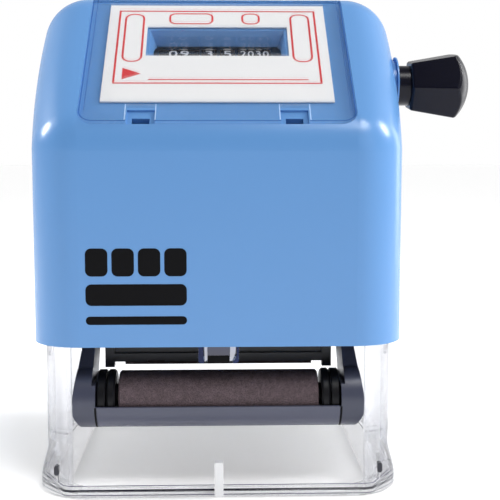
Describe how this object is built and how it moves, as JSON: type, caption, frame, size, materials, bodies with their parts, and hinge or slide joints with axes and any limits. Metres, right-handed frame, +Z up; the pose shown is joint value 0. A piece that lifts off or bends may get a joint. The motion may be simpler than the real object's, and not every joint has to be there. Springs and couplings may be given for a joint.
{
  "type": "self inking stamp",
  "caption": "Self-inking desk dater with a sliding housing on a clear base, a swinging ink roller, date bands under a sloped window and a side selector knob.",
  "frame": {"origin": "centre of the base footprint, on the surface it stands on", "axes": "+Z up along the stroke, +X towards the selector knob, -Y towards the user and the sloped panel"},
  "size_m": [0.0973, 0.0668, 0.1062],
  "materials": {
    "clear_base": "clear moulded styrene, polished",
    "clear_cover": "clear moulded styrene, polished",
    "clear_blue": "clear plastic with a blue tint, polished",
    "blue_shell": "sky blue moulded plastic, satin",
    "dark_plastic": "dark grey moulded plastic",
    "grey_blue": "grey blue moulded plastic, satin",
    "black_knob": "black moulded plastic, satin",
    "black_trim": "black moulded plastic",
    "wheel_plastic": "light grey moulded plastic",
    "band_rubber": "black moulded rubber band with raised digits",
    "text_rubber": "laser cut stamp rubber, dark with ink",
    "ink_foam": "open cell foam soaked in ink",
    "card": "white card with a red printed frame",
    "steel": "plated steel",
    "spring_steel": "drawn spring wire"
  },
  "bodies": {
    "base": {"base_frame": "clear_base", "guide_pin_left": "steel", "guide_pin_right": "steel", "return_spring_left": "spring_steel", "return_spring_right": "spring_steel"},
    "head": {"housing": "blue_shell", "knob_bush": "black_trim", "yoke_plate": "dark_plastic", "yoke_screws": "steel", "side_plate_left": "dark_plastic", "side_plate_right": "dark_plastic", "tie_rods": "steel", "head_rim": "dark_plastic", "text_plate": "dark_plastic", "text_rubber": "text_rubber", "band_bridge": "dark_plastic", "arm_pivot_pins": "steel", "index_card": "card", "front_latch": "clear_blue", "latch_pawl": "black_trim", "month_band": "band_rubber", "day_tens_band": "band_rubber", "day_units_band": "band_rubber", "year_band": "band_rubber"},
    "cover": {"panel_cover": "clear_cover"},
    "arms": {"roller_arm_left": "grey_blue", "roller_arm_right": "grey_blue", "roller_bearing_left": "black_trim", "roller_bearing_right": "black_trim", "roller_axle": "steel", "roller_tray": "grey_blue"},
    "roller": {"roller_core": "black_trim", "ink_roller": "ink_foam"},
    "selector": {"selector_collar": "dark_plastic"},
    "knob_body": {"knob": "black_knob", "knob_shaft": "black_knob", "retaining_clip": "spring_steel"},
    "month_wheel_body": {"month_wheel": "wheel_plastic"},
    "day_tens_wheel_body": {"day_tens_wheel": "wheel_plastic"},
    "day_units_wheel_body": {"day_units_wheel": "wheel_plastic"},
    "year_wheel_body": {"year_wheel": "wheel_plastic"}
  },
  "joints": [
    {"name": "press", "type": "slide", "parent": "base", "child": "head", "axis": [0, 0, -1], "range_m": [0, 0.0241], "stiffness_N_per_m": 420, "springref_m": -0.01, "deforming": ["return_spring_left", "return_spring_right"]},
    {"name": "arm_swing", "type": "hinge", "parent": "head", "child": "arms", "pos_m": [0, -0.0065, 0.042], "axis": [1, 0, 0], "range_deg": [0, 174]},
    {"name": "roller_spin", "type": "hinge", "parent": "arms", "child": "roller", "pos_m": [0, -0.0245, 0.0195], "axis": [1, 0, 0], "continuous": true},
    {"name": "cover_lift", "type": "hinge", "parent": "head", "child": "cover", "pos_m": [0, 0.00273, 0.10493], "axis": [-1, 0, 0], "range_deg": [0, 70]},
    {"name": "band_select", "type": "slide", "parent": "head", "child": "selector", "axis": [1, 0, 0], "range_m": [-0.0025, 0.005]},
    {"name": "knob_turn", "type": "hinge", "parent": "selector", "child": "knob_body", "pos_m": [0, -0.003, 0.086], "axis": [1, 0, 0], "continuous": true},
    {"name": "month_turn", "type": "hinge", "parent": "head", "child": "month_wheel_body", "pos_m": [0, -0.003, 0.086], "axis": [1, 0, 0], "continuous": true},
    {"name": "day_tens_turn", "type": "hinge", "parent": "head", "child": "day_tens_wheel_body", "pos_m": [0, -0.003, 0.086], "axis": [1, 0, 0], "continuous": true},
    {"name": "day_units_turn", "type": "hinge", "parent": "head", "child": "day_units_wheel_body", "pos_m": [0, -0.003, 0.086], "axis": [1, 0, 0], "continuous": true},
    {"name": "year_turn", "type": "hinge", "parent": "head", "child": "year_wheel_body", "pos_m": [0, -0.003, 0.086], "axis": [1, 0, 0], "continuous": true}
  ],
  "couplings": [
    {"joint": "arm_swing", "follows": "press", "rad_per_m": 126.01},
    {"joint": "day_units_turn", "follows": "knob_turn", "ratio": 1}
  ]
}
